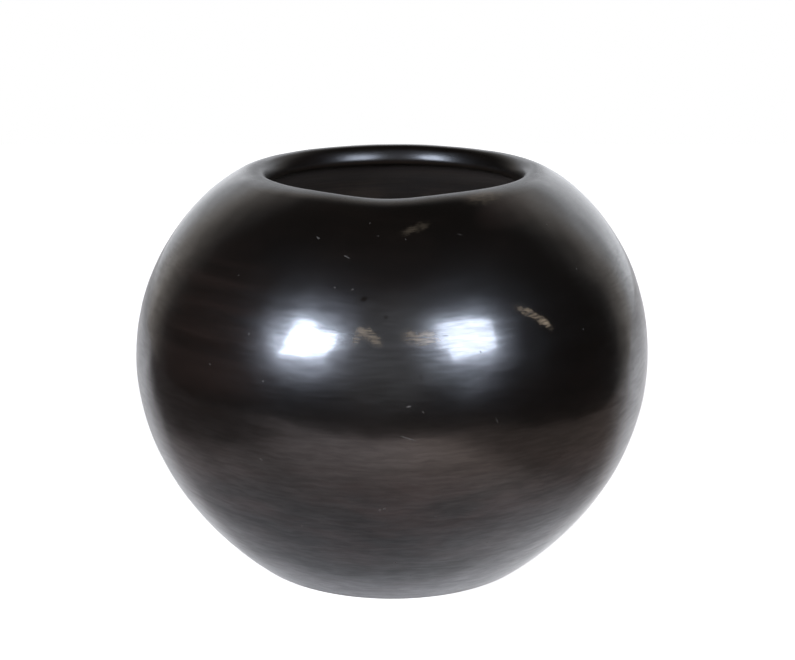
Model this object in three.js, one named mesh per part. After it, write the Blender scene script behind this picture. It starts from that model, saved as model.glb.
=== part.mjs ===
// Burnished blackware bowl: a coil-built globular vessel with a rounded lip and a flat base.
// Millimetres, +Z up, origin at the centre of the flat underside.
// The clay body is a base pad, a stack of wall coils and a rim coil, luted seam to seam.
// A thin slip coat covers the body from the base edge, over the lip, to the burnish line inside.
import * as THREE from "three";

// Finished outside of the bowl
const BELLY_RADIUS = 80;
const BELLY_HEIGHT = 63.5;
const HEIGHT = 122.3;
const BASE_RADIUS = 46.1;
const BASE_RISE = 38.7; // degrees between the table and the wall where it leaves the base
const MOUTH_RADIUS = 39.5; // clear radius inside the lip
const LIP_SLOPE = 23.4; // degrees that the shoulder still falls outwards where the lip starts
const LOWER_FULLNESS = 0.63; // reach of the lower curve's handles towards their corner
const UPPER_FULLNESS = 0.61;

// Thicknesses
const WALL = 7.4; // across the finished lip
const FOOT_WALL = 8; // across the wall where it leaves the base
const FLOOR = 7;
const SLIP = 0.4;
const DISH_FULLNESS = 0.6; // reach of the floor's handles towards the corner of floor and wall

// Lengths of wall, measured up the outside of the clay body
const PAD_WALL = 24; // raised with the base pad
const RIM_WALL = 15; // raised with the rim coil
const COILS = 6;

// Facets
const SIDES = 48;
const PAD_STEPS = 3;
const COIL_STEPS = 2;
const RIM_STEPS = 2;
const LIP_STEPS = 6;
const FLOOR_STEPS = 6;

const baseRise = THREE.MathUtils.degToRad(BASE_RISE);
const LIP_RADIUS = WALL / 2;
const lipNormal = THREE.MathUtils.degToRad(90 - LIP_SLOPE);
const lipCentre = new THREE.Vector2(MOUTH_RADIUS + LIP_RADIUS, HEIGHT - LIP_RADIUS);

// A smooth curve between two points whose handles reach towards the corner of its end tangents.
function sweep(start, corner, end, fullness) {
  const leave = start.clone().lerp(corner, fullness);
  const arrive = end.clone().lerp(corner, fullness);
  return new THREE.CubicBezierCurve(start, leave, arrive, end);
}

// The wall's outline at a depth under the finished surface: from its foot, out to the belly, in to the lip.
function wallOutline(depth) {
  const foot = new THREE.Vector2(BASE_RADIUS - depth / Math.sin(baseRise), 0);
  const belly = new THREE.Vector2(BELLY_RADIUS - depth, BELLY_HEIGHT);
  const footCorner = new THREE.Vector2(belly.x, (belly.x - foot.x) * Math.tan(baseRise));
  const reach = LIP_RADIUS - depth;
  const lipStart = new THREE.Vector2(
    lipCentre.x + reach * Math.cos(lipNormal),
    lipCentre.y + reach * Math.sin(lipNormal),
  );
  const lipCorner = new THREE.Vector2(
    belly.x,
    lipStart.y - (belly.x - lipStart.x) / Math.tan(lipNormal),
  );
  const outline = new THREE.CurvePath();
  outline.add(sweep(foot, footCorner, belly, LOWER_FULLNESS));
  outline.add(sweep(belly, lipCorner, lipStart, UPPER_FULLNESS));
  return outline;
}

const surface = wallOutline(0);
const body = wallOutline(SLIP);

// The inside lies square under the surface by the wall's thickness, which tapers from the foot to the lip.
function insideAt(share) {
  const thickness = THREE.MathUtils.lerp(FOOT_WALL, WALL - SLIP, share);
  const point = surface.getPointAt(share);
  const rise = surface.getTangentAt(share);
  return new THREE.Vector2(point.x - rise.y * thickness, point.y + rise.x * thickness);
}

// Seams between the clay pieces, as shares of the wall's length from the foot to the lip.
const bodyLength = body.getLength();
const padTop = PAD_WALL / bodyLength;
const rimStart = 1 - RIM_WALL / bodyLength;
const seams = Array.from({ length: COILS + 1 }, (_, i) => THREE.MathUtils.lerp(padTop, rimStart, i / COILS));

// Evenly spaced shares from one seam to the next, both ends included.
function stations(from, to, steps) {
  return Array.from({ length: steps + 1 }, (_, i) => (i === steps ? to : from + ((to - from) * i) / steps));
}

const padStations = stations(0, padTop, PAD_STEPS);
const coilStations = seams.slice(0, COILS).map((seam, i) => stations(seam, seams[i + 1], COIL_STEPS));
const rimStations = stations(rimStart, 1, RIM_STEPS);
const wallStations = [padStations, ...coilStations, rimStations].flatMap((shares, i) =>
  i === 0 ? shares : shares.slice(1),
);

// The same point is always worked out from the same share, so neighbours meet face to face.
const along = (outline, shares) => shares.map((share) => outline.getPointAt(share));
const downInside = (shares) => shares.map(insideAt).reverse();

// The floor dishes up from its centre into the inside of the wall, where the base pad ends.
function floorDish() {
  const centre = new THREE.Vector2(0, FLOOR);
  const edge = insideAt(padTop);
  const rise = surface.getTangentAt(padTop);
  const corner = new THREE.Vector2(edge.x - ((edge.y - FLOOR) * rise.x) / rise.y, FLOOR);
  return sweep(edge, corner, centre, DISH_FULLNESS).getPoints(FLOOR_STEPS);
}

// The rounded lip at a depth under the finished surface, from the shoulder over to the inside.
function lipArc(depth) {
  return Array.from({ length: LIP_STEPS + 1 }, (_, i) => {
    const angle = lipNormal + (Math.PI * i) / LIP_STEPS;
    return new THREE.Vector2(Math.cos(angle), Math.sin(angle))
      .multiplyScalar(LIP_RADIUS - depth)
      .add(lipCentre);
  });
}

const clay = new THREE.MeshStandardMaterial({ color: 0x2c2826, roughness: 0.8, metalness: 0 });
const burnishedSlip = new THREE.MeshStandardMaterial({ color: 0x131212, roughness: 0.22, metalness: 0 });

// A solid of revolution about the bowl's upright axis.
function turned(name, profile, material) {
  const geometry = new THREE.LatheGeometry(profile, SIDES).rotateX(Math.PI / 2);
  const mesh = new THREE.Mesh(geometry, material);
  mesh.name = name;
  return mesh;
}

function makeBasePad() {
  const underside = new THREE.Vector2(0, 0);
  return turned("base_pad", [underside, ...along(body, padStations), ...floorDish()], clay);
}

function makeCoil(shares, number) {
  const outer = along(body, shares);
  return turned(`wall_coil_${number}`, [...outer, ...downInside(shares), outer[0]], clay);
}

function makeRimCoil() {
  const outer = along(body, rimStations);
  const lip = lipArc(SLIP).slice(1, -1);
  return turned("rim_coil", [...outer, ...lip, ...downInside(rimStations), outer[0]], clay);
}

function makeSlipCoat() {
  const outer = [...along(surface, wallStations), ...lipArc(0).slice(1)];
  const under = [...along(body, wallStations), ...lipArc(SLIP).slice(1, -1), insideAt(1)].reverse();
  return turned("slip_coat", [...outer, ...under, outer[0]], burnishedSlip);
}

const clayBody = new THREE.Group();
clayBody.add(makeBasePad(), ...coilStations.map((shares, i) => makeCoil(shares, i + 1)), makeRimCoil());

const bowl = new THREE.Group();
bowl.add(clayBody, makeSlipCoat());

export default bowl;
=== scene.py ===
# Burnished blackware bowl: the looks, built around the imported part.
# Metres, +Z up, in the part's own frame: the table is z = 0 and the bowl's axis is x = y = 0.
import bisect
import math
from collections import namedtuple

import bpy
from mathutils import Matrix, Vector, geometry


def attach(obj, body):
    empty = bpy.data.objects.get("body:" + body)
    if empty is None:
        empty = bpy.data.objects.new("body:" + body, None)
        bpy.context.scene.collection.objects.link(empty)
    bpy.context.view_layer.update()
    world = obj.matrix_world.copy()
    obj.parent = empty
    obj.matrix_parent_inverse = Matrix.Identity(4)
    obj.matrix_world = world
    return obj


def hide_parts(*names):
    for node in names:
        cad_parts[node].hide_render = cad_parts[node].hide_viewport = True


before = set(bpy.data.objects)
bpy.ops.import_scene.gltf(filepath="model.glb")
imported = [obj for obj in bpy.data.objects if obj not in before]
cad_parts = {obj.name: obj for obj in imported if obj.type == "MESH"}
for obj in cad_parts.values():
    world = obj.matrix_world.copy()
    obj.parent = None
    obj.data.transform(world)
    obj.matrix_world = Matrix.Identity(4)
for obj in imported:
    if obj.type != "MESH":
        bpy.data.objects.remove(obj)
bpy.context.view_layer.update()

# Driving sizes of the bowl, the same as the part's
BELLY_RADIUS = 0.080
BELLY_HEIGHT = 0.0635
HEIGHT = 0.1223
BASE_RADIUS = 0.0461
BASE_RISE = math.radians(38.7)  # between the table and the wall where it leaves the base
MOUTH_RADIUS = 0.0395
LIP_SLOPE = math.radians(23.4)  # that the shoulder still falls outwards where the lip starts
LOWER_FULLNESS = 0.63
UPPER_FULLNESS = 0.61
WALL = 0.0074  # across the finished lip
FOOT_WALL = 0.008
FLOOR = 0.007
SLIP = 0.0004
DISH_FULLNESS = 0.6
PAD_WALL = 0.024  # wall raised with the base pad
RIM_WALL = 0.015  # wall raised with the rim coil
COILS = sum(name.startswith("wall_coil_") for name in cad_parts)

# Fineness of the meshes
SIDES = 384
SKIN_STEP = 0.001  # between rings where the surface shows
HIDDEN_STEP = 0.004  # between rings where one piece covers another
LIP_STEP = 0.0004
UNDERSIDE_RINGS = 16
FLOOR_RINGS = 48
CURVE_POINTS = 600  # worked out on each curve of the wall's outline
DISH_POINTS = 200  # worked out on the floor's curve
SLOPE_REACH = 0.004  # share of an outline to each side of a point, over which its slope is taken
MERGE_REACH = 1e-6
SHARP_ANGLE = math.radians(50)  # past which an edge isn't smoothed over

# What the hand left uneven
WAVE_DEPTH = 0.00042
WAVE_SIZE = 0.055
FLAT_DEPTH = 0.00026  # left by the burnishing stone
FLAT_SIZE = 0.011
LEAN = 0.0007  # sideways at the lip, towards +X
RIM_LIFT = 0.00102  # of the whole lip
RIM_TILT = 0.00068  # of the lip, the near side up and the far side down
DIP_DEPTH = 0.00125  # in the near lip
DIP_ANGLE = math.radians(-94)
DIP_WIDTH = math.radians(20)
RIM_REACH = 0.02  # in height, over which the lip's unevenness runs out down the shoulder
STEADY_HEIGHT = 0.012  # below this the wall grows truer downwards, so that the bowl stands flat
HAND_SEED = 3.0

# The photograph's view, in a frame of 795 by 660 pixels
FRAME_WIDTH = 795
FOCAL_PIXELS = 1772.4
AIM = Vector((0, 0, 0.064))
AIM_PIXELS_LEFT = 5.5  # where the aim shows, from the frame's middle
AIM_PIXELS_BELOW = 21.2
VIEW_DISTANCE = 0.56
VIEW_ELEVATION = math.radians(17.13)
SENSOR = 36  # millimetres

# The lip, which the hand rounded more freely than the part's half round
LIP_RADIUS = WALL / 2
LIP_NORMAL = math.pi / 2 - LIP_SLOPE
LIP_CENTRE = Vector((MOUTH_RADIUS + LIP_RADIUS, HEIGHT - LIP_RADIUS))
LIP_BACK = 0.0044  # of the shoulder, given over to the lip
LIP_EASE = 0.0135  # radius of the lip's outer side, from the shoulder until it is level
LIP_TURNS = [(60, 0.0029), (18, 0.0092), (78, 0.0016)]  # degrees and radius: edge, inner face, underside


# Outlines of the wall, as points of radius and height

def sweep(start, corner, end, fullness, count):
    """A smooth curve between two points whose handles reach towards the corner of its end tangents."""
    leave = start.lerp(corner, fullness)
    arrive = end.lerp(corner, fullness)
    return geometry.interpolate_bezier(start, leave, arrive, end, count)


class Outline:
    """A line of points that can be read at any share of its length."""

    def __init__(self, points):
        self.points = points
        self.reach = [0.0]
        for before, after in zip(points, points[1:]):
            self.reach.append(self.reach[-1] + (after - before).length)
        self.length = self.reach[-1]

    def at(self, share):
        """The point at a share of the length."""
        reach = min(max(share, 0.0), 1.0) * self.length
        index = min(max(bisect.bisect_right(self.reach, reach), 1), len(self.points) - 1)
        start = self.reach[index - 1]
        part = (reach - start) / (self.reach[index] - start)
        return self.points[index - 1].lerp(self.points[index], part)

    def rise(self, share):
        """The direction in which the line goes on at a share of the length."""
        ahead = self.at(share + SLOPE_REACH)
        behind = self.at(share - SLOPE_REACH)
        return (ahead - behind).normalized()


def wall_outline(depth):
    """The wall at a depth under the finished surface: from its foot, out to the belly, in to the lip."""
    foot = Vector((BASE_RADIUS - depth / math.sin(BASE_RISE), 0))
    belly = Vector((BELLY_RADIUS - depth, BELLY_HEIGHT))
    foot_corner = Vector((belly.x, (belly.x - foot.x) * math.tan(BASE_RISE)))
    lip_start = LIP_CENTRE + (LIP_RADIUS - depth) * Vector((math.cos(LIP_NORMAL), math.sin(LIP_NORMAL)))
    lip_corner = Vector((belly.x, lip_start.y - (belly.x - lip_start.x) * math.tan(LIP_SLOPE)))
    lower = sweep(foot, foot_corner, belly, LOWER_FULLNESS, CURVE_POINTS)
    upper = sweep(belly, lip_corner, lip_start, UPPER_FULLNESS, CURVE_POINTS)
    return Outline(lower + upper[1:])


surface = wall_outline(0)
body = wall_outline(SLIP)
shoulder_end = 1 - LIP_BACK / surface.length
pad_top = PAD_WALL / body.length
rim_start = 1 - RIM_WALL / body.length
seams = [pad_top + (rim_start - pad_top) * i / COILS for i in range(COILS + 1)]


def inside_at(share):
    """The inside, square under the surface by the wall's thickness, which tapers towards the lip."""
    thickness = FOOT_WALL + (WALL - SLIP - FOOT_WALL) * share
    rise = surface.rise(share)
    return surface.at(share) + thickness * Vector((-rise.y, rise.x))


def stations(start, end, step):
    """Even shares of the wall's length from start to end, no further apart than step."""
    count = max(2, math.ceil(abs(end - start) * surface.length / step))
    return [start + (end - start) * i / count for i in range(count + 1)]


def lip_rows(depth):
    """The lip at a depth under the finished surface, from the shoulder over to the inside."""
    rise = surface.rise(shoulder_end)
    slope = math.atan2(rise.y, -rise.x)
    point = surface.at(shoulder_end) - depth * Vector((rise.y, -rise.x))
    climb = shoulder_end * surface.length
    rows = [(*point, climb)]
    for turn, radius in [(slope, LIP_EASE)] + [(math.radians(turn), radius) for turn, radius in LIP_TURNS]:
        count = math.ceil(turn * radius / LIP_STEP)
        for _ in range(count):
            middle = slope - turn / count / 2
            point = point + (radius - depth) * turn / count * Vector((-math.cos(middle), math.sin(middle)))
            slope -= turn / count
            climb += radius * turn / count
            rows.append((*point, climb))
    return rows


# Profiles of the pieces: rows of radius, height, and the distance up the wall that the finish follows

def wall_rows(outline, shares):
    return [(*outline.at(share), share * surface.length) for share in shares]


def inside_rows(shares):
    return [(*inside_at(share), share * surface.length) for share in shares]


def slip_profile():
    outer = wall_rows(surface, stations(0, shoulder_end, SKIN_STEP)) + lip_rows(0)[1:]
    under = lip_rows(SLIP)[::-1] + wall_rows(body, stations(shoulder_end, 0, HIDDEN_STEP))[1:]
    return outer + under + outer[:1]


def rim_profile():
    outer = wall_rows(body, stations(rim_start, shoulder_end, HIDDEN_STEP))
    inner = inside_rows(stations(1, rim_start, SKIN_STEP))
    return outer + lip_rows(SLIP)[1:] + inner + outer[:1]


def coil_profile(number):
    low, high = seams[number - 1], seams[number]
    outer = wall_rows(body, stations(low, high, HIDDEN_STEP))
    inner = inside_rows(stations(high, low, SKIN_STEP))
    return outer + inner + outer[:1]


def pad_profile():
    foot = body.at(0)
    parts = [i / UNDERSIDE_RINGS for i in range(UNDERSIDE_RINGS)]
    underside = [(foot.x * part, 0.0, -foot.x * (1 - part)) for part in parts]
    outer = wall_rows(body, stations(0, pad_top, HIDDEN_STEP))
    edge = inside_at(pad_top)
    rise = surface.rise(pad_top)
    corner = Vector((edge.x - (edge.y - FLOOR) * rise.x / rise.y, FLOOR))
    dish = Outline(sweep(edge, corner, Vector((0, FLOOR)), DISH_FULLNESS, DISH_POINTS))
    shares = [i / FLOOR_RINGS for i in range(FLOOR_RINGS + 1)]
    inner = [(*dish.at(share), pad_top * surface.length - share * dish.length) for share in shares]
    return underside + outer + inner


# Node helpers

def add(tree, kind, inputs=None, **settings):
    """A new node with its settings, and its inputs linked to sockets or set to values."""
    made = tree.nodes.new(kind)
    for name, value in settings.items():
        setattr(made, name, value)
    for key, value in (inputs or {}).items():
        if isinstance(value, bpy.types.NodeSocket):
            tree.links.new(value, made.inputs[key])
        else:
            made.inputs[key].default_value = value
    return made


def sums(tree, operation, *values):
    """The result of a Math node."""
    return add(tree, "ShaderNodeMath", dict(enumerate(values)), operation=operation).outputs[0]


def product(tree, first, second):
    return sums(tree, "MULTIPLY", first, second)


def total(tree, first, second):
    return sums(tree, "ADD", first, second)


def larger(tree, first, second):
    return sums(tree, "MAXIMUM", first, second)


def vector_sums(tree, operation, *values, result="Vector"):
    """The result of a Vector Math node."""
    return add(tree, "ShaderNodeVectorMath", dict(enumerate(values)), operation=operation).outputs[result]


def scaled(tree, vector, scale):
    inputs = {"Vector": vector, "Scale": scale}
    return add(tree, "ShaderNodeVectorMath", inputs, operation="SCALE").outputs[0]


def joined(tree, x, y, z):
    return add(tree, "ShaderNodeCombineXYZ", {"X": x, "Y": y, "Z": z}).outputs[0]


def parted(tree, vector):
    return add(tree, "ShaderNodeSeparateXYZ", {"Vector": vector}).outputs


def eased(tree, value, low, high, start=0.0, end=1.0):
    """A smooth step of value from low to high, put out from start to end."""
    inputs = {"Value": value, "From Min": low, "From Max": high, "To Min": start, "To Max": end}
    return add(tree, "ShaderNodeMapRange", inputs, interpolation_type="SMOOTHSTEP").outputs["Result"]


def noise(tree, vector, size, detail, roughness, seed):
    """Even noise from 0 to 1 with blobs of about the given size."""
    inputs = {"Vector": vector, "W": seed, "Scale": sums(tree, "DIVIDE", 1.0, size)}
    inputs.update({"Detail": detail, "Roughness": roughness})
    return add(tree, "ShaderNodeTexNoise", inputs, noise_dimensions="4D").outputs[0]


def shaken(tree, place, size, reach, seed):
    """Coordinates shaken by a noise, so that what is placed with them has ragged edges."""
    inputs = {"Vector": place, "W": seed, "Scale": 1 / size, "Detail": 3.0, "Roughness": 0.6}
    shake = add(tree, "ShaderNodeTexNoise", inputs, noise_dimensions="4D").outputs["Color"]
    shake = vector_sums(tree, "SUBTRACT", shake, Vector((0.5, 0.5, 0.5)))
    return vector_sums(tree, "ADD", place, scaled(tree, shake, reach))


def inlet(tree, name, kind, default=None):
    """A named input of a node group."""
    socket = tree.interface.new_socket(name, in_out="INPUT", socket_type=kind)
    if default is not None:
        socket.default_value = default


def outlet(tree, name, kind):
    """A named output of a node group."""
    tree.interface.new_socket(name, in_out="OUTPUT", socket_type=kind)


# The hand-built wall: a profile turned about the bowl's axis and left uneven

def hand_built_wall():
    tree = bpy.data.node_groups.new("hand_built_wall", "GeometryNodeTree")
    inlet(tree, "Profile", "NodeSocketGeometry")
    inlet(tree, "Sides", "NodeSocketInt", SIDES)
    inlet(tree, "Wave Depth", "NodeSocketFloat", WAVE_DEPTH)
    inlet(tree, "Wave Size", "NodeSocketFloat", WAVE_SIZE)
    inlet(tree, "Flat Depth", "NodeSocketFloat", FLAT_DEPTH)
    inlet(tree, "Flat Size", "NodeSocketFloat", FLAT_SIZE)
    inlet(tree, "Lean", "NodeSocketFloat", LEAN)
    inlet(tree, "Rim Lift", "NodeSocketFloat", RIM_LIFT)
    inlet(tree, "Rim Tilt", "NodeSocketFloat", RIM_TILT)
    inlet(tree, "Dip Depth", "NodeSocketFloat", DIP_DEPTH)
    inlet(tree, "Dip Angle", "NodeSocketFloat", DIP_ANGLE)
    inlet(tree, "Dip Width", "NodeSocketFloat", DIP_WIDTH)
    inlet(tree, "Seed", "NodeSocketFloat", HAND_SEED)
    inlet(tree, "Finish", "NodeSocketMaterial")
    outlet(tree, "Wall", "NodeSocketGeometry")
    given = add(tree, "NodeGroupInput").outputs

    # One column of the grid for each side, with the profile's points in each column
    size = add(tree, "GeometryNodeAttributeDomainSize", {0: given["Profile"]}, component="MESH")
    points = size.outputs["Point Count"]
    columns = total(tree, given["Sides"], 1)
    grid = add(tree, "GeometryNodeMeshGrid", {"Vertices X": columns, "Vertices Y": points})
    index = add(tree, "GeometryNodeInputIndex").outputs[0]
    row = add(tree, "FunctionNodeIntegerMath", {0: index, 1: points}, operation="MODULO").outputs[0]
    column = add(tree, "FunctionNodeIntegerMath", {0: index, 1: points}, operation="DIVIDE").outputs[0]
    place = add(tree, "GeometryNodeInputPosition").outputs[0]
    sample = {"Geometry": given["Profile"], "Value": place, "Index": row}
    point = add(tree, "GeometryNodeSampleIndex", sample, data_type="FLOAT_VECTOR").outputs["Value"]
    climb = add(tree, "GeometryNodeInputNamedAttribute", {"Name": "climb"}, data_type="FLOAT").outputs[0]
    sample = {"Geometry": given["Profile"], "Value": climb, "Index": row}
    climbed = add(tree, "GeometryNodeSampleIndex", sample, data_type="FLOAT").outputs["Value"]

    # Turned about the axis, with the finish's own coordinates and a map laid round the wall
    turn = sums(tree, "DIVIDE", product(tree, column, math.tau), given["Sides"])
    cosine = sums(tree, "COSINE", turn)
    sine = sums(tree, "SINE", turn)
    radius, _, height = parted(tree, point)
    x = product(tree, radius, cosine)
    y = product(tree, radius, sine)
    inputs = {"Geometry": grid.outputs["Mesh"], "Position": joined(tree, x, y, height)}
    turned = add(tree, "GeometryNodeSetPosition", inputs)
    round_x = product(tree, cosine, BELLY_RADIUS)
    round_y = product(tree, sine, BELLY_RADIUS)
    round_wall = joined(tree, round_x, round_y, climbed)
    store = {"Geometry": turned.outputs[0], "Name": "round_wall", "Value": round_wall}
    kept = add(tree, "GeometryNodeStoreNamedAttribute", store, data_type="FLOAT_VECTOR", domain="POINT")
    store = {"Geometry": kept.outputs[0], "Name": "OFBake", "Value": grid.outputs["UV Map"]}
    mapped = add(tree, "GeometryNodeStoreNamedAttribute", store, data_type="FLOAT2", domain="CORNER")
    inputs = {"Geometry": mapped.outputs[0], "Distance": MERGE_REACH}
    closed = add(tree, "GeometryNodeMergeByDistance", inputs)

    # Slow waves and small flats push the wall in and out, away from the middle of the bowl
    middle = Vector((0, 0, BELLY_HEIGHT))
    outwards = vector_sums(tree, "NORMALIZE", vector_sums(tree, "SUBTRACT", place, middle))
    waves = noise(tree, place, given["Wave Size"], detail=1.0, roughness=0.4, seed=given["Seed"])
    flats = noise(tree, place, given["Flat Size"], detail=1.0, roughness=0.4, seed=given["Seed"])
    wave_push = product(tree, sums(tree, "SUBTRACT", waves, 0.5), given["Wave Depth"])
    flat_push = product(tree, sums(tree, "SUBTRACT", flats, 0.5), given["Flat Depth"])
    rise = parted(tree, place)[2]
    steady = eased(tree, rise, 0.0, STEADY_HEIGHT)
    push = product(tree, total(tree, wave_push, flat_push), steady)

    # The shoulder leans a little, and the lip is tilted and dips at one place
    shoulder = eased(tree, rise, BELLY_HEIGHT, HEIGHT)
    side = product(tree, shoulder, given["Lean"])
    flat_x, flat_y, _ = parted(tree, place)
    angle = sums(tree, "ARCTAN2", flat_y, flat_x)
    away = sums(tree, "DIVIDE", sums(tree, "SUBTRACT", angle, given["Dip Angle"]), given["Dip Width"])
    bell = sums(tree, "EXPONENT", product(tree, product(tree, away, away), -1.0))
    rim = eased(tree, rise, HEIGHT - RIM_REACH, HEIGHT)
    tilt = product(tree, sums(tree, "DIVIDE", flat_y, LIP_CENTRE.x), given["Rim Tilt"])
    lift = sums(tree, "SUBTRACT", given["Rim Lift"], tilt)
    lift = sums(tree, "SUBTRACT", lift, product(tree, bell, given["Dip Depth"]))
    shift = joined(tree, side, 0.0, product(tree, lift, rim))
    moved = vector_sums(tree, "ADD", scaled(tree, outwards, push), shift)
    uneven = add(tree, "GeometryNodeSetPosition", {"Geometry": closed.outputs[0], "Offset": moved})
    smooth = add(tree, "GeometryNodeSetShadeSmooth", {"Geometry": uneven.outputs[0]})
    real = add(tree, "GeometryNodeRealizeInstances", {0: smooth.outputs[0]})
    inputs = {"Geometry": real.outputs[0], "Material": given["Finish"]}
    finished = add(tree, "GeometryNodeSetMaterial", inputs)
    add(tree, "NodeGroupOutput", {0: finished.outputs[0]})
    return tree


def build_wall(name, tree, profile, finish):
    """A closed piece of the bowl's wall, turned from its profile by the hand-built wall tree."""
    line = bpy.data.meshes.new(name)
    edges = [(i, i + 1) for i in range(len(profile) - 1)]
    line.from_pydata([(radius, 0, height) for radius, height, _ in profile], edges, [])
    climb = line.attributes.new("climb", "FLOAT", "POINT")
    climb.data.foreach_set("value", [row[2] for row in profile])
    piece = bpy.data.objects.new(name, line)
    bpy.context.scene.collection.objects.link(piece)
    turner = piece.modifiers.new("hand_built_wall", "NODES")
    turner.node_group = tree
    finish_socket = tree.interface.items_tree["Finish"].identifier
    turner[finish_socket] = finish
    graph = bpy.context.evaluated_depsgraph_get()
    evaluated = piece.evaluated_get(graph)
    solid = bpy.data.meshes.new_from_object(evaluated, preserve_all_data_layers=True, depsgraph=graph)
    piece.modifiers.clear()
    piece.data = solid
    solid.name = name
    solid.set_sharp_from_angle(angle=SHARP_ANGLE)
    bpy.data.meshes.remove(line)
    return piece


# Effects that the finishes share

STROKE_WANDER = 1.6  # widths that a stroke strays to its side
MARK_SHORTEST = 0.3  # of a stray mark's given length


def hand_strokes():
    """Long strokes that run round the wall, as a stone or a scraper leaves them."""
    tree = bpy.data.node_groups.new("hand_strokes", "ShaderNodeTree")
    inlet(tree, "Round Wall", "NodeSocketVector")
    inlet(tree, "Length", "NodeSocketFloat", 0.04)
    inlet(tree, "Width", "NodeSocketFloat", 0.004)
    inlet(tree, "Seed", "NodeSocketFloat", 0.0)
    outlet(tree, "Strokes", "NodeSocketFloat")
    given = add(tree, "NodeGroupInput").outputs
    drift = noise(tree, given["Round Wall"], given["Length"], detail=1.0, roughness=0.5, seed=given["Seed"])
    x, y, climb = parted(tree, given["Round Wall"])
    wander = product(tree, drift, product(tree, given["Width"], STROKE_WANDER))
    stretch = sums(tree, "DIVIDE", given["Length"], given["Width"])
    steep = product(tree, total(tree, climb, wander), stretch)
    drawn_out = joined(tree, x, y, steep)
    strokes = noise(tree, drawn_out, given["Length"], detail=3.0, roughness=0.55, seed=given["Seed"])
    add(tree, "NodeGroupOutput", {0: strokes})
    return tree


def smoke_clouds():
    """Broad patches where the smoke took more or less."""
    tree = bpy.data.node_groups.new("smoke_clouds", "ShaderNodeTree")
    inlet(tree, "Place", "NodeSocketVector")
    inlet(tree, "Size", "NodeSocketFloat", 0.05)
    inlet(tree, "Low", "NodeSocketFloat", 0.35)
    inlet(tree, "High", "NodeSocketFloat", 0.65)
    inlet(tree, "Seed", "NodeSocketFloat", 0.0)
    outlet(tree, "Clouds", "NodeSocketFloat")
    given = add(tree, "NodeGroupInput").outputs
    cloud = noise(tree, given["Place"], given["Size"], detail=4.0, roughness=0.55, seed=given["Seed"])
    add(tree, "NodeGroupOutput", {0: eased(tree, cloud, given["Low"], given["High"])})
    return tree


def stray_marks():
    """Scattered small dashes in any direction: specks if short, scratches if long."""
    tree = bpy.data.node_groups.new("stray_marks", "ShaderNodeTree")
    inlet(tree, "Round Wall", "NodeSocketVector")
    inlet(tree, "Spacing", "NodeSocketFloat", 0.02)
    inlet(tree, "Length", "NodeSocketFloat", 0.001)
    inlet(tree, "Width", "NodeSocketFloat", 0.0003)
    inlet(tree, "Share", "NodeSocketFloat", 0.5)
    outlet(tree, "Marks", "NodeSocketFloat")
    given = add(tree, "NodeGroupInput").outputs
    cells = add(tree, "ShaderNodeTexVoronoi", {
        "Vector": given["Round Wall"],
        "Scale": sums(tree, "DIVIDE", 1.0, given["Spacing"]),
        "Randomness": 1.0,
    })
    rolls = add(tree, "ShaderNodeSeparateColor", {"Color": cells.outputs["Color"]}).outputs
    offset = vector_sums(tree, "SUBTRACT", given["Round Wall"], cells.outputs["Position"])
    x, y, _ = parted(tree, given["Round Wall"])
    round_way = vector_sums(tree, "NORMALIZE", joined(tree, product(tree, y, -1.0), x, 0.0))
    across = vector_sums(tree, "DOT_PRODUCT", offset, round_way, result="Value")
    upward = parted(tree, offset)[2]
    turn = product(tree, rolls[0], math.pi)
    cosine = sums(tree, "COSINE", turn)
    sine = sums(tree, "SINE", turn)
    along = total(tree, product(tree, across, cosine), product(tree, upward, sine))
    aside = sums(tree, "SUBTRACT", product(tree, upward, cosine), product(tree, across, sine))
    reach = product(tree, given["Length"], total(tree, rolls[1], MARK_SHORTEST))
    along = sums(tree, "DIVIDE", along, reach)
    aside = sums(tree, "DIVIDE", aside, given["Width"])
    far = total(tree, product(tree, along, along), product(tree, aside, aside))
    dash = eased(tree, far, 0.25, 1.0, 1.0, 0.0)
    kept = sums(tree, "LESS_THAN", rolls[2], given["Share"])
    add(tree, "NodeGroupOutput", {0: product(tree, dash, kept)})
    return tree


def placed_mark():
    """One mark of a given place, length, width and direction."""
    tree = bpy.data.node_groups.new("placed_mark", "ShaderNodeTree")
    inlet(tree, "Place", "NodeSocketVector")
    inlet(tree, "Centre", "NodeSocketVector")
    inlet(tree, "Along", "NodeSocketVector")
    inlet(tree, "Across", "NodeSocketVector")
    inlet(tree, "Half Length", "NodeSocketFloat", 0.001)
    inlet(tree, "Half Width", "NodeSocketFloat", 0.0003)
    inlet(tree, "Strength", "NodeSocketFloat", 1.0)
    outlet(tree, "Mark", "NodeSocketFloat")
    given = add(tree, "NodeGroupInput").outputs
    offset = vector_sums(tree, "SUBTRACT", given["Place"], given["Centre"])
    along = vector_sums(tree, "DOT_PRODUCT", offset, given["Along"], result="Value")
    aside = vector_sums(tree, "DOT_PRODUCT", offset, given["Across"], result="Value")
    along = sums(tree, "DIVIDE", along, given["Half Length"])
    aside = sums(tree, "DIVIDE", aside, given["Half Width"])
    far = total(tree, product(tree, along, along), product(tree, aside, aside))
    near = sums(tree, "LESS_THAN", vector_sums(tree, "LENGTH", offset, result="Value"), BELLY_RADIUS)
    mark = product(tree, eased(tree, far, 0.0, 1.0, given["Strength"], 0.0), near)
    add(tree, "NodeGroupOutput", {0: mark})
    return tree


def placed(tree, group, inputs):
    """A shared effect placed in a material with its own values."""
    return add(tree, "ShaderNodeGroup", inputs, node_tree=group).outputs[0]


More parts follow.
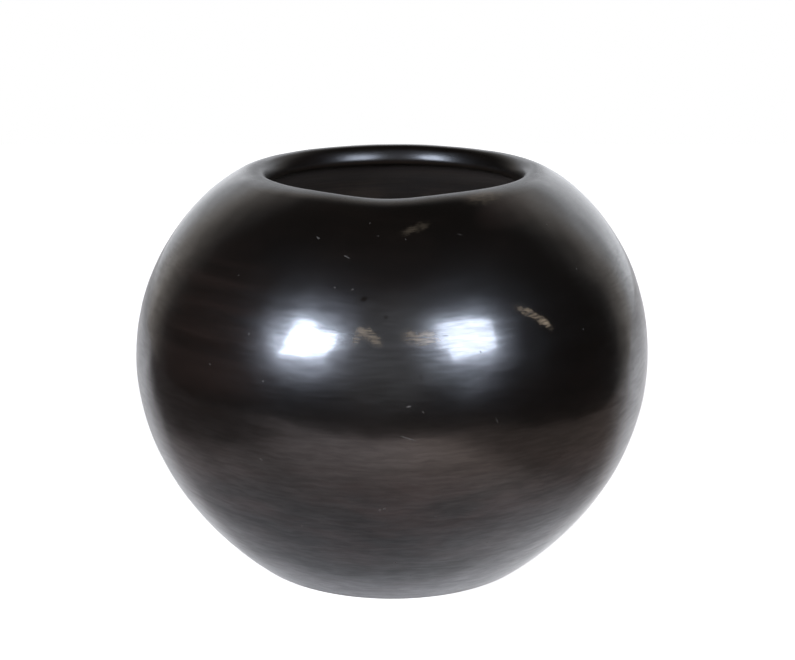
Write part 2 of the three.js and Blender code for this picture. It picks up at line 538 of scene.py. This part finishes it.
def blended(tree, share, first, second):
    """One colour shading into another."""
    made = add(tree, "ShaderNodeMix", {"Factor": share}, data_type="RGBA")
    for key, value in (("A", first), ("B", second)):
        socket = next(s for s in made.inputs if s.name == key and s.type == "RGBA")
        if isinstance(value, bpy.types.NodeSocket):
            tree.links.new(value, socket)
        else:
            socket.default_value = (*value, 1)
    return next(s for s in made.outputs if s.type == "RGBA")


def new_material(name):
    """A material with its shader, and the coordinates of the piece and of its wall."""
    material = bpy.data.materials.new(name)
    material.use_nodes = True
    tree = material.node_tree
    shader = tree.nodes["Principled BSDF"]
    place = add(tree, "ShaderNodeTexCoord").outputs["Object"]
    wall = add(tree, "ShaderNodeAttribute", attribute_name="round_wall").outputs["Vector"]
    return material, tree, shader, place, wall


# Finishes

INK_BLACK = (0.0034, 0.0022, 0.0013)
SMOKE_BROWN = (0.0190, 0.0115, 0.0084)
RUSSET = (0.045, 0.027, 0.022)
RUBBED_TAN = (0.460, 0.345, 0.220)
SCRATCH_GREY = (0.090, 0.080, 0.068)
CLAY_BLACK = (0.043, 0.034, 0.027)
CLAY_BROWN = (0.098, 0.071, 0.051)
CLAY_PAINTED_BOUNCE = (0.150, 0.118, 0.094)  # painted light: paler under the lip, standing in for bounce light in the shade there
SMOKE_STRENGTH = 0.3  # of the brown clouds
SPECK_STRENGTH = 0.5
CLAY_SPECK_STRENGTH = 0.6
RUBBED_DULLNESS = 0.6  # of the rubbed places, next to scratches
DULL_ROUGHNESS = 0.6
LIP_ROUGHNESS = 0.19  # added on the lip
LIP_SHEEN_LOSS = 0.85
SHOULDER_SHEEN = 0.68  # coat weight, where the strokes run together
BURNISH_DEPTH = 0.00005
FINE_RELIEF = 0.05  # of the fine strokes, next to the broad ones
SCRAPE_DEPTH = 0.00022
SCRAPE_RELIEF = 0.7  # shares of the scraped clay's relief
GRIT_RELIEF = 0.3
GRIT_SIZE = 0.0009

# Smooth steps of the slip and the clay: from, to, and the values before and after where not 0 and 1
RUB_STEP = (0.36, 0.64, 0.16, 1.0)
SMOKE_STEP = (0.3, 0.7, 0.3, 1.0)
RUSSET_STEP = (0.36, 0.68)
RUSSET_HEIGHT_STEP = (0.040, 0.064, 0.5, 0.0)  # in height
LIP_DULL_STEP = (surface.length - 0.0045, surface.length + 0.002)  # in distance up the wall
# Under the lip the slip thins to clay; its paler tone there also serves as painted bounce light in the
# lip's shade
LIP_THIN_AND_BOUNCE_STEP = (surface.length + 0.0074, surface.length + 0.0094, 0.0, 0.12)
GLOSS_STEP = (0.3, 0.7, 0.145, 0.09)  # roughness
FINE_GLOSS_STEP = (0.35, 0.65, 0.02, -0.012)  # roughness, added
FINE_SHEEN_STEP = (0.34, 0.66, 0.66, 1.0)
MOTTLED_SHEEN_STEP = (0.3, 0.7, 0.75, 1.0)
MISSED_SHEEN_STEP = (0.30, 0.44, 0.72, 1.0)
SHOULDER_STEP = (0.096, 0.108, 0.0, 0.75)  # in height
SCRAPE_STEP = (0.3, 0.7, 0.35, 1.0)
PAINTED_BOUNCE_STEP = (0.106, 0.114)  # in height; where the painted bounce light under the lip comes in
CLAY_ROUGHNESS_STEP = (0.3, 0.7, 0.80, 0.58)

# Strokes round the wall: sizes in metres, and the seed of their pattern
Strokes = namedtuple("Strokes", "length width seed")
BROAD_STROKES = Strokes(0.06, 0.0055, 1.0)
FINE_STROKES = Strokes(0.006, 0.0009, 2.0)
RUSSET_STROKES = Strokes(0.022, 0.007, 11.0)
MOTTLED_STROKES = Strokes(0.016, 0.005, 6.0)
MISSED_STROKES = Strokes(0.045, 0.0032, 12.0)  # where the stone left gaps
RUBBED_STROKES = Strokes(0.0040, 0.0006, 4.0)  # in the scuffs
SCRAPED_STROKES = Strokes(0.03, 0.0022, 7.0)  # in the clay inside

# Scuffs have ragged edges and fade from the middle
SCUFF_GRAIN = 0.0024
SCUFF_RAGGEDNESS = 0.0034
SCUFF_SEED = 13.0
SCUFF_FADE = 12.0  # power of the fading

# Marks of use: angle round the axis and tilt in degrees, sizes in metres, strength from 0 to 1
Mark = namedtuple("Mark", "angle height length width tilt strength")
SCUFFS = [
    Mark(-83.1, 0.1161, 0.0180, 0.0066, 22, 0.83),
    Mark(-56.0, 0.1212, 0.0290, 0.0150, 8, 0.86),
    Mark(-95.7, 0.0917, 0.0140, 0.0076, -8, 0.91),
    Mark(-97.2, 0.0906, 0.0100, 0.0056, 50, 0.87),
    Mark(-93.6, 0.0904, 0.0110, 0.0058, -48, 0.89),
    Mark(-83.7, 0.0906, 0.0240, 0.0086, -6, 0.915),
    Mark(-57.7, 0.0935, 0.0240, 0.0058, -32, 0.935),
    Mark(-55.4, 0.0911, 0.0130, 0.0058, -38, 0.96),
]
PITS = [
    Mark(-96.3, 0.1002, 0.0026, 0.0018, 20, 0.8),
    Mark(-78.8, 0.0909, 0.0024, 0.0006, 0, 0.9),
    Mark(-91.3, 0.0959, 0.0016, 0.0014, 0, 0.7),
    Mark(-84.2, 0.0806, 0.0008, 0.0026, 0, 0.6),
]
BROWNED = [
    Mark(-138, 0.088, 0.085, 0.060, 0, 1.0),
    Mark(-57, 0.1215, 0.018, 0.006, 8, 1.0),
    Mark(-50, 0.1180, 0.034, 0.014, 10, 0.7),
]
SCRATCHES = [
    Mark(-110.5, 0.1135, 0.0016, 0.0007, -30, 0.8),
    Mark(-101.5, 0.1099, 0.0026, 0.0005, -25, 0.8),
    Mark(-93.9, 0.1146, 0.0009, 0.0006, 0, 0.5),
    Mark(-96.6, 0.1173, 0.0008, 0.0006, 0, 0.4),
    Mark(-71.0, 0.1142, 0.0018, 0.0006, -20, 0.3),
    Mark(-86.7, 0.0727, 0.0018, 0.0006, 8, 0.9),
    Mark(-83.9, 0.0711, 0.0009, 0.0005, -45, 0.6),
    Mark(-68.8, 0.0671, 0.0027, 0.0003, -67, 0.5),
    Mark(-86.9, 0.0638, 0.0062, 0.0003, -19, 1.0),
    Mark(-92.5, 0.0412, 0.0012, 0.0007, 20, 0.9),
    Mark(-91.6, 0.0416, 0.0012, 0.0007, 20, 0.9),
    Mark(-116.9, 0.0770, 0.0010, 0.0006, 20, 0.6),
    Mark(-130.8, 0.0785, 0.0009, 0.0007, 0, 0.6),
    Mark(-110.6, 0.0330, 0.0009, 0.0006, 30, 0.6),
    Mark(-89.2, 0.0205, 0.0020, 0.0006, 40, 0.7),
]


def mark_inputs(mark, place):
    """A mark's place and directions on the outside of the wall."""
    share = bisect.bisect([point.y for point in surface.points], mark.height) / len(surface.points)
    angle = math.radians(mark.angle)
    tilt = math.radians(mark.tilt)
    level = min(surface.points, key=lambda point: abs(point.y - mark.height))
    outwards = Vector((math.cos(angle), math.sin(angle), 0))
    onwards = Vector((-math.sin(angle), math.cos(angle), 0))
    rise = surface.rise(share)
    upwards = outwards * rise.x + Vector((0, 0, rise.y))
    return {
        "Place": place,
        "Centre": outwards * level.x + Vector((0, 0, level.y)),
        "Along": onwards * math.cos(tilt) + upwards * math.sin(tilt),
        "Across": upwards * math.cos(tilt) - onwards * math.sin(tilt),
        "Half Length": mark.length / 2,
        "Half Width": mark.width / 2,
        "Strength": mark.strength,
    }


def marked(tree, mark, spots, place, ground=0.0):
    """The strongest of some marks at each point, over what is there already."""
    most = ground
    for spot in spots:
        most = larger(tree, most, placed(tree, mark, mark_inputs(spot, place)))
    return most


def stroked(tree, group, wall, kind):
    """One kind of strokes round the wall."""
    inputs = {"Round Wall": wall, "Length": kind.length, "Width": kind.width, "Seed": kind.seed}
    return placed(tree, group, inputs)


def burnished_slip(strokes, clouds, marks, mark):
    """Black slip, rubbed with a stone: a sharp gloss and a soft one, in long strokes."""
    material, tree, shader, place, wall = new_material("burnished_slip")
    height = parted(tree, place)[2]
    climb = parted(tree, wall)[2]
    broad = stroked(tree, strokes, wall, BROAD_STROKES)
    fine = stroked(tree, strokes, wall, FINE_STROKES)

    # Marks of use
    specks = placed(tree, marks, {
        "Round Wall": wall, "Spacing": 0.016, "Length": 0.0005, "Width": 0.0003, "Share": 0.3,
    })
    hurt = marked(tree, mark, SCRATCHES, place, product(tree, specks, SPECK_STRENGTH))
    ragged = shaken(tree, place, SCUFF_GRAIN, SCUFF_RAGGEDNESS, SCUFF_SEED)
    rubs = stroked(tree, strokes, wall, RUBBED_STROKES)
    rubbed = sums(tree, "POWER", marked(tree, mark, SCUFFS, ragged), SCUFF_FADE)
    rubbed = product(tree, rubbed, eased(tree, rubs, *RUB_STEP))
    pitted = marked(tree, mark, PITS, place)

    # Black, browned by smoke and russet low down, with paler clay where it is hurt, and under the lip where
    # the slip thins and painted bounce light lifts the shade
    smoke = placed(tree, clouds, {"Place": place, "Size": 0.045, "Low": 0.42, "High": 0.70, "Seed": 5.0})
    smoke = marked(tree, mark, BROWNED, place, product(tree, smoke, SMOKE_STRENGTH))
    tone = product(tree, smoke, eased(tree, broad, *SMOKE_STEP))
    slip = blended(tree, tone, INK_BLACK, SMOKE_BROWN)
    low = eased(tree, height, *RUSSET_HEIGHT_STEP)
    russet = eased(tree, stroked(tree, strokes, wall, RUSSET_STROKES), *RUSSET_STEP)
    slip = blended(tree, product(tree, low, russet), slip, RUSSET)
    slip = blended(tree, rubbed, slip, RUBBED_TAN)
    slip = blended(tree, hurt, slip, SCRATCH_GREY)
    # Under the lip: thinning slip, and painted bounce light in the shade there
    thin_and_bounce = eased(tree, climb, *LIP_THIN_AND_BOUNCE_STEP)
    tree.links.new(blended(tree, thin_and_bounce, slip, CLAY_BROWN), shader.inputs["Base Color"])

    # The sharp gloss, duller over the lip and where the slip is hurt or rubbed
    lip = eased(tree, climb, *LIP_DULL_STEP)
    gloss = eased(tree, broad, *GLOSS_STEP)
    gloss = total(tree, gloss, eased(tree, fine, *FINE_GLOSS_STEP))
    gloss = total(tree, gloss, product(tree, lip, LIP_ROUGHNESS))
    dull = larger(tree, hurt, product(tree, rubbed, RUBBED_DULLNESS))
    gloss = larger(tree, gloss, product(tree, dull, DULL_ROUGHNESS))
    tree.links.new(gloss, shader.inputs["Roughness"])

    # The soft sheen in strokes, even on the shoulder and weak on the lip
    mottle = eased(tree, stroked(tree, strokes, wall, MOTTLED_STROKES), *MOTTLED_SHEEN_STEP)
    missed = eased(tree, stroked(tree, strokes, wall, MISSED_STROKES), *MISSED_SHEEN_STEP)
    sheen = product(tree, eased(tree, fine, *FINE_SHEEN_STEP), mottle)
    sheen = product(tree, sheen, missed)
    shoulder = eased(tree, height, *SHOULDER_STEP)
    even = product(tree, sums(tree, "SUBTRACT", SHOULDER_SHEEN, sheen), shoulder)
    sheen = total(tree, sheen, even)
    sheen = product(tree, sheen, sums(tree, "SUBTRACT", 1.0, larger(tree, dull, pitted)))
    sheen = product(tree, sheen, sums(tree, "SUBTRACT", 1.0, product(tree, lip, LIP_SHEEN_LOSS)))
    tree.links.new(sheen, shader.inputs["Coat Weight"])

    # Shallow furrows of the stone
    relief = total(tree, broad, product(tree, fine, FINE_RELIEF))
    bump = add(tree, "ShaderNodeBump", {"Strength": 1.0, "Distance": BURNISH_DEPTH, "Height": relief})
    tree.links.new(bump.outputs[0], shader.inputs["Normal"])
    shader.inputs["IOR"].default_value = 1.5
    shader.inputs["Coat Roughness"].default_value = 0.25
    shader.inputs["Coat IOR"].default_value = 1.8
    return material


def scraped_clay(strokes, clouds, marks):
    """The bare inside: smoke-blackened clay, wiped and scraped round by hand, with painted light under the
    lip.
    """
    material, tree, shader, place, wall = new_material("scraped_clay")
    height = parted(tree, place)[2]
    scrapes = stroked(tree, strokes, wall, SCRAPED_STROKES)
    grit = noise(tree, place, GRIT_SIZE, detail=3.0, roughness=0.6, seed=8.0)
    smoke = placed(tree, clouds, {"Place": place, "Size": 0.035, "Low": 0.35, "High": 0.7, "Seed": 9.0})
    specks = placed(tree, marks, {
        "Round Wall": wall, "Spacing": 0.012, "Length": 0.0005, "Width": 0.0003, "Share": 0.3,
    })
    tone = product(tree, smoke, eased(tree, scrapes, *SCRAPE_STEP))
    clay = blended(tree, tone, CLAY_BLACK, CLAY_BROWN)
    # Painted light: the clay is paler near the top, for bounce light in the shade under the lip
    clay = blended(tree, eased(tree, height, *PAINTED_BOUNCE_STEP), clay, CLAY_PAINTED_BOUNCE)
    specks = product(tree, specks, CLAY_SPECK_STRENGTH)
    tree.links.new(blended(tree, specks, clay, SCRATCH_GREY), shader.inputs["Base Color"])
    tree.links.new(eased(tree, scrapes, *CLAY_ROUGHNESS_STEP), shader.inputs["Roughness"])
    relief = total(tree, product(tree, scrapes, SCRAPE_RELIEF), product(tree, grit, GRIT_RELIEF))
    bump = add(tree, "ShaderNodeBump", {"Strength": 1.0, "Distance": SCRAPE_DEPTH, "Height": relief})
    tree.links.new(bump.outputs[0], shader.inputs["Normal"])
    return material


# Pieces

def build_bowl():
    tree = hand_built_wall()
    strokes = hand_strokes()
    clouds = smoke_clouds()
    marks = stray_marks()
    slip = burnished_slip(strokes, clouds, marks, placed_mark())
    clay = scraped_clay(strokes, clouds, marks)
    made = [("slip_coat", slip_profile(), slip, "burnished_slip")]
    made.append(("base_pad", pad_profile(), clay, "fired_clay"))
    made.append(("rim_coil", rim_profile(), clay, "fired_clay"))
    for number in range(1, COILS + 1):
        made.append((f"wall_coil_{number}", coil_profile(number), clay, "fired_clay"))
    for node, profile, finish, slot in made:
        piece = build_wall(f"{node}_shown", tree, profile, finish)
        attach(piece, "root")
        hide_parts(node)


# Table, light and camera

TABLE_CORNERS = [(-0.26, -0.243), (0.16, -0.263), (0.26, 0.08), (0.56, 0.45), (0.56, 0.70), (-0.52, 0.70)]
TABLE_WARM = (0.97, 0.78, 0.66)  # in front of the bowl
TABLE_RED = (1.00, 0.74, 0.57)  # in front of it and to the right
TABLE_COOL = (0.92, 0.85, 0.78)  # behind it and at its foot
BACK_LEFT = (0.97, 0.108)  # slopes and distances of two lines, behind which the table is pale
BACK_RIGHT = (-0.52, 0.05)
MIRRORED_FRONT = 0.05  # painted glow, added where the bowl mirrors the strip in front of it
MIRRORED_COLOUR = (0.98, 0.99, 1.02)

# Smooth steps of the table's tone, given in the same way, with from and to in metres
# The strip in front is a painted pool of light, with the bowl's painted shade close to it
STRIP_LEFT_STEP = (-0.19, -0.11, 0.0, 0.72)  # across the table
STRIP_MIDDLE_STEP = (-0.09, 0.01, 0.0, 0.28)
STRIP_RIGHT_STEP = (0.07, 0.13, 1.0, 0.0)
STRIP_SHADE_STEP = (0.0, 0.07, 0.44, 0.66)  # to each side, close to the bowl: the bowl's painted shade
STRIP_FRONT = (-0.18, -0.11)  # along the table, from the full tone to the near one
CORNER_STEP = (-0.16, -0.07, 0.5, 0.0)
CORNER_FRONT_STEP = (-0.22, -0.10, 1.0, 0.0)
CORNER_END_STEP = (-0.26, -0.14, 0.5, 1.0)
LEFT_SIDE_STEP = (-0.25, -0.1, 0.12, 0.18)
RIGHT_SIDE_STEP = (0.08, 0.12, 0.0, 0.14)
BACK_STEP = (-0.045, 0.045)  # across the two lines
BACK_START = (-0.06, 0.0)  # along the table
FOOT_LIGHT_STEP = (0.047, 0.074, 0.8, 0.0)  # away from the bowl's axis; painted light at the foot
RED_STEP = (-0.08, 0.10)
COOL_STEP = (0.055, 0.155, 1.0, 0.0)  # away from the bowl's axis

# Smooth steps of what is added to the tone: for the camera, to whiten it, and a painted glow where the bowl
# mirrors it
WHITE_STEP = (0.15, 0.30, 0.9, 1.0)  # away from the bowl's axis
FOOT_GLOW_STEP = (-0.02, 0.06, 0.10, 0.46)  # across the table
FOOT_GLOW_END_STEP = (0.05, 0.095, 1.0, 0.0)  # away from the bowl's axis
BACK_GLOW_STEP = (-0.1, 0.12, 0.30, 0.45)  # across the table
BACK_GLOW_END_STEP = (0.2, 0.6, 1.0, 0.6)  # away from the bowl's axis

# The two windows, with their corners by azimuth and elevation, and the soft light around them
WINDOW_DISTANCE = 1.0
WINDOW_COLOUR = (0.80, 0.89, 1.08)
LEFT_PANE = [(-130, 13), (-133, 31), (-141, 34), (-145, 28), (-154, 30), (-155, 23), (-150, 17)]
RIGHT_PANE = [(160, 34), (132, 32), (135, 17), (154, 15), (156, 22), (161, 24)]
LEFT_PANE_GLOW = 24
RIGHT_PANE_GLOW = 15
Curtain = namedtuple("Curtain", "azimuth elevation width height glow")
LEFT_CURTAIN = Curtain(-141, 24, 0.95, 1.00, 1.4)
RIGHT_CURTAIN = Curtain(147, 21, 0.95, 0.95, 1.15)
CURTAIN_SETBACK = 1.02  # of the window's distance
CURTAIN_FADE = (0.15, 0.5)  # from its middle, as shares of its width and height

# The backdrop and the room
LEFT_FADE = (math.radians(-67), math.radians(-10))
RIGHT_FADE = (math.radians(26), math.radians(66))
TOP_FADE = (math.sin(math.radians(13)), math.sin(math.radians(65)))
SIDE_SLANT = 0.35  # the backdrop widens upwards on the right
SLANT_START = 0.14  # sine of the elevation above which it does
BACKDROP = 0.84  # radiance
ROOM = 0.012  # radiance
ROOM_COLOUR = (0.965, 0.985, 1.03)
FADE_COLOUR = (1.07, 0.99, 0.92)  # where the backdrop fades into the room
FADE_STARTS = (0.0, 0.12)  # shares of the backdrop, between which that colour comes and goes
FADE_ENDS = (0.35, 0.85)
MIRRORED_WHITE = (0.7, 1.0)  # shares of the backdrop, between which it is mirrored as white
ROOM_GLOW = 0.30  # from the middle of the room behind the camera
GLOW_TOWARDS = Vector((0, -math.cos(math.radians(22)), math.sin(math.radians(22))))
GLOW_FADE = (0.82, 1.0)


def build_table():
    """A pale table top of the size and the tones that the bowl mirrors, with painted light and shade in
    those tones.
    """
    mesh = bpy.data.meshes.new("table_top")
    mesh.from_pydata([(x, y, 0) for x, y in TABLE_CORNERS], [], [tuple(range(len(TABLE_CORNERS)))])
    table = bpy.data.objects.new("table_top", mesh)
    bpy.context.scene.collection.objects.link(table)
    material = bpy.data.materials.new("pale_table")
    material.use_nodes = True
    tree = material.node_tree
    shader = tree.nodes["Principled BSDF"]
    place = add(tree, "ShaderNodeTexCoord").outputs["Object"]
    x, y, _ = parted(tree, place)
    away = vector_sums(tree, "LENGTH", place, result="Value")

    # A pale strip in front of the bowl, a painted pool of light, dimmer close to it with the bowl's painted
    # shade
    strip = total(tree, eased(tree, x, *STRIP_LEFT_STEP), eased(tree, x, *STRIP_MIDDLE_STEP))
    strip = product(tree, strip, eased(tree, x, *STRIP_RIGHT_STEP))
    near = eased(tree, sums(tree, "ABSOLUTE", x), *STRIP_SHADE_STEP)
    strip = product(tree, strip, eased(tree, y, *STRIP_FRONT, 1.0, near))

    # The left corner in front, and a little at both sides
    corner = product(tree, eased(tree, x, *CORNER_STEP), eased(tree, y, *CORNER_FRONT_STEP))
    corner = product(tree, corner, eased(tree, x, *CORNER_END_STEP))
    beside = total(tree, eased(tree, x, *RIGHT_SIDE_STEP), eased(tree, x, *LEFT_SIDE_STEP))

    # All that lies behind the two lines, and painted light at the bowl's foot
    left = total(tree, product(tree, x, BACK_LEFT[0]), BACK_LEFT[1])
    right = total(tree, product(tree, x, BACK_RIGHT[0]), BACK_RIGHT[1])
    behind = total(tree, y, sums(tree, "MINIMUM", left, right))
    back = product(tree, eased(tree, behind, *BACK_STEP), eased(tree, y, *BACK_START))
    foot = eased(tree, away, *FOOT_LIGHT_STEP)
    cool = larger(tree, back, foot)
    pale = larger(tree, larger(tree, strip, corner), larger(tree, cool, beside))
    colour = blended(tree, eased(tree, x, *RED_STEP), TABLE_WARM, TABLE_RED)
    cooled = larger(tree, back, eased(tree, away, *COOL_STEP))
    colour = blended(tree, cooled, colour, TABLE_COOL)
    tree.links.new(blended(tree, pale, (0, 0, 0), colour), shader.inputs["Base Color"])
    shader.inputs["Roughness"].default_value = 0.9
    shader.inputs["Specular IOR Level"].default_value = 0.0

    # White for the camera, and a painted glow, seen only in reflections, where the bowl mirrors it
    path = add(tree, "ShaderNodeLightPath").outputs
    seen = product(tree, path["Is Camera Ray"], eased(tree, away, *WHITE_STEP))
    mirrored = product(tree, strip, MIRRORED_FRONT)
    foot_glow = eased(tree, x, *FOOT_GLOW_STEP)
    foot_glow = product(tree, foot_glow, eased(tree, away, *FOOT_GLOW_END_STEP))
    back_glow = product(tree, back, eased(tree, x, *BACK_GLOW_STEP))
    back_glow = product(tree, back_glow, eased(tree, away, *BACK_GLOW_END_STEP))
    mirrored = larger(tree, mirrored, total(tree, foot_glow, back_glow))
    mirrored = product(tree, mirrored, path["Is Glossy Ray"])
    lift = add(tree, "ShaderNodeEmission", {
        "Color": blended(tree, path["Is Glossy Ray"], (1, 1, 1), MIRRORED_COLOUR),
        "Strength": total(tree, seen, mirrored),
    })
    both = add(tree, "ShaderNodeAddShader", {0: shader.outputs[0], 1: lift.outputs[0]})
    tree.links.new(both.outputs[0], tree.nodes["Material Output"].inputs["Surface"])
    mesh.materials.append(material)


def direction(azimuth, elevation):
    """A unit vector, by degrees of azimuth clockwise from +Y and of elevation."""
    turn = math.radians(azimuth)
    climb = math.radians(elevation)
    level = math.cos(climb)
    return Vector((math.sin(turn) * level, math.cos(turn) * level, math.sin(climb)))


def build_pane(name, corners, glow):
    """The clear part of a window behind the camera, with its corners by azimuth and elevation."""
    middle = Vector((0, 0, BELLY_HEIGHT))
    mesh = bpy.data.meshes.new(name)
    points = [middle + WINDOW_DISTANCE * direction(*corner) for corner in corners]
    mesh.from_pydata(points, [], [tuple(range(len(points)))])
    pane = bpy.data.objects.new(name, mesh)
    bpy.context.scene.collection.objects.link(pane)
    material = bpy.data.materials.new(name)
    material.use_nodes = True
    tree = material.node_tree
    tree.nodes.remove(tree.nodes["Principled BSDF"])
    light = add(tree, "ShaderNodeEmission", {"Color": (*WINDOW_COLOUR, 1), "Strength": glow})
    tree.links.new(light.outputs[0], tree.nodes["Material Output"].inputs["Surface"])
    mesh.materials.append(material)
    pane.visible_camera = False


def build_curtain(name, plan):
    """The soft light around a window, which faces the bowl and fades towards its edge."""
    lamp = bpy.data.lights.new(name, "AREA")
    lamp.shape = "ELLIPSE"
    lamp.size = plan.width
    lamp.size_y = plan.height
    lamp.color = WINDOW_COLOUR
    lamp.energy = plan.glow * math.pi * plan.width / 2 * plan.height / 2 * math.pi
    lamp.use_nodes = True
    tree = lamp.node_tree
    spot = add(tree, "ShaderNodeNewGeometry").outputs["Parametric"]
    away = vector_sums(tree, "DISTANCE", spot, Vector((0.5, 0.5, 0)), result="Value")
    fade = eased(tree, away, *CURTAIN_FADE, 1.0, 0.0)
    tree.links.new(fade, tree.nodes["Emission"].inputs["Strength"])
    curtain = bpy.data.objects.new(name, lamp)
    towards = direction(plan.azimuth, plan.elevation)
    curtain.location = Vector((0, 0, BELLY_HEIGHT)) + CURTAIN_SETBACK * WINDOW_DISTANCE * towards
    curtain.rotation_euler = towards.to_track_quat("Z", "Y").to_euler()
    curtain.visible_camera = False
    bpy.context.scene.collection.objects.link(curtain)


def build_surroundings():
    """A white backdrop behind the bowl and a dim room elsewhere. The camera sees white all round."""
    world = bpy.data.worlds.new("studio")
    bpy.context.scene.world = world
    world.use_nodes = True
    tree = world.node_tree
    ground = tree.nodes["Background"]
    towards = add(tree, "ShaderNodeTexCoord").outputs["Generated"]
    x, y, z = parted(tree, towards)
    azimuth = sums(tree, "ARCTAN2", x, y)
    slant = product(tree, larger(tree, z, SLANT_START), SIDE_SLANT)
    left = eased(tree, azimuth, *LEFT_FADE)
    right = eased(tree, sums(tree, "SUBTRACT", azimuth, slant), *RIGHT_FADE, 1.0, 0.0)
    top = eased(tree, z, *TOP_FADE, 1.0, 0.0)
    backdrop = product(tree, product(tree, left, right), top)
    facing = vector_sums(tree, "DOT_PRODUCT", towards, GLOW_TOWARDS, result="Value")
    room = total(tree, ROOM, eased(tree, facing, *GLOW_FADE, 0.0, ROOM_GLOW))
    room = total(tree, room, product(tree, backdrop, BACKDROP))
    path = add(tree, "ShaderNodeLightPath").outputs
    direct = larger(tree, path["Is Camera Ray"], path["Is Transmission Ray"])
    mirrored = product(tree, path["Is Glossy Ray"], eased(tree, backdrop, *MIRRORED_WHITE))
    shown = larger(tree, direct, mirrored)
    tree.links.new(larger(tree, room, shown), ground.inputs["Strength"])
    fading = eased(tree, backdrop, *FADE_STARTS)
    fading = product(tree, fading, eased(tree, backdrop, *FADE_ENDS, 1.0, 0.0))
    colour = blended(tree, fading, ROOM_COLOUR, FADE_COLOUR)
    tree.links.new(blended(tree, direct, colour, (1, 1, 1)), ground.inputs["Color"])


def build_camera():
    lens = bpy.data.cameras.new("photo_view")
    lens.sensor_width = SENSOR
    lens.lens = FOCAL_PIXELS / FRAME_WIDTH * SENSOR
    lens.shift_x = AIM_PIXELS_LEFT / FRAME_WIDTH
    lens.shift_y = AIM_PIXELS_BELOW / FRAME_WIDTH
    camera = bpy.data.objects.new("photo_view", lens)
    back = Vector((0, -math.cos(VIEW_ELEVATION), math.sin(VIEW_ELEVATION)))
    camera.location = AIM + VIEW_DISTANCE * back
    camera.rotation_euler = back.to_track_quat("Z", "Y").to_euler()
    bpy.context.scene.collection.objects.link(camera)
    bpy.context.scene.camera = camera


build_camera()
build_table()
build_pane("left_pane", LEFT_PANE, LEFT_PANE_GLOW)
build_pane("right_pane", RIGHT_PANE, RIGHT_PANE_GLOW)
build_curtain("left_curtain", LEFT_CURTAIN)
build_curtain("right_curtain", RIGHT_CURTAIN)
build_surroundings()
build_bowl()
bpy.context.scene.view_settings.view_transform = "Standard"
